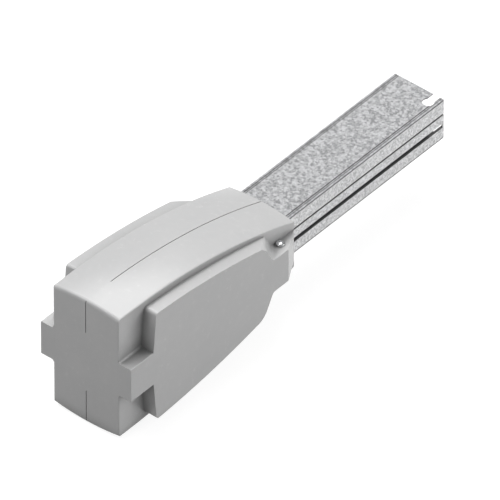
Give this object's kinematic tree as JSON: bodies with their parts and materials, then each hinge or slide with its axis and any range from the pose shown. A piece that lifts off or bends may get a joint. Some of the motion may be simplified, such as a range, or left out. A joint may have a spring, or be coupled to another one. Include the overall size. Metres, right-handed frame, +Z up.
{
  "type": "busway tap off box",
  "caption": "Plastic tap off box in two moulded shells, closed round the end of a steel busway, with terminals, cable clamp and screwed lugs.",
  "frame": {"origin": "centre of the busway's open end, where the next length joins", "axes": "+Y out of the open end along the busway, away from the box; +X to the box's right; +Z up"},
  "size_m": [0.1178, 0.5195, 0.1598],
  "materials": {
    "housing_plastic": "satin moulded light grey",
    "galvanised_sheet": "hot-dip galvanised with fine spangle",
    "black_plastic": "matt moulded",
    "foam_rubber": "closed-cell foam",
    "copper_bar": "drawn copper",
    "nickel_brass": "nickel-plated brass",
    "zinc_steel": "bright zinc-plated"
  },
  "bodies": {
    "busway": {"casing_top_plate": "galvanised_sheet", "casing_bottom_plate": "galvanised_sheet", "casing_left_side": "galvanised_sheet", "casing_right_side": "galvanised_sheet", "bar_insulator": "black_plastic", "busbar_l1": "copper_bar", "busbar_l2": "copper_bar", "busbar_l3": "copper_bar", "busbar_n": "copper_bar", "terminal_base": "black_plastic", "terminal_cage_l1": "nickel_brass", "terminal_cage_l2": "nickel_brass", "terminal_cage_l3": "nickel_brass", "terminal_cage_n": "nickel_brass", "terminal_screws": "zinc_steel", "terminal_base_screws": "zinc_steel", "mounting_tray": "galvanised_sheet", "tray_screws": "zinc_steel", "left_lug_bracket": "galvanised_sheet", "right_lug_bracket": "galvanised_sheet", "bracket_rivets": "zinc_steel", "earth_stud": "nickel_brass", "earth_nuts": "nickel_brass", "earth_washer": "zinc_steel", "cable_clamp_base": "black_plastic", "cable_clamp_saddle": "black_plastic", "cable_clamp_screws": "zinc_steel", "busway_seal": "foam_rubber"},
    "right_cover": {"right_shell": "housing_plastic", "right_lug_screws": "zinc_steel", "right_lug_nuts": "zinc_steel"},
    "left_cover": {"left_shell": "housing_plastic", "left_lug_screws": "zinc_steel", "left_lug_nuts": "zinc_steel"}
  },
  "joints": [
    {"name": "right_cover_slide", "type": "slide", "parent": "busway", "child": "right_cover", "axis": [1, 0, 0], "range_m": [0, 0.12]},
    {"name": "left_cover_slide", "type": "slide", "parent": "busway", "child": "left_cover", "axis": [-1, 0, 0], "range_m": [0, 0.12]}
  ]
}
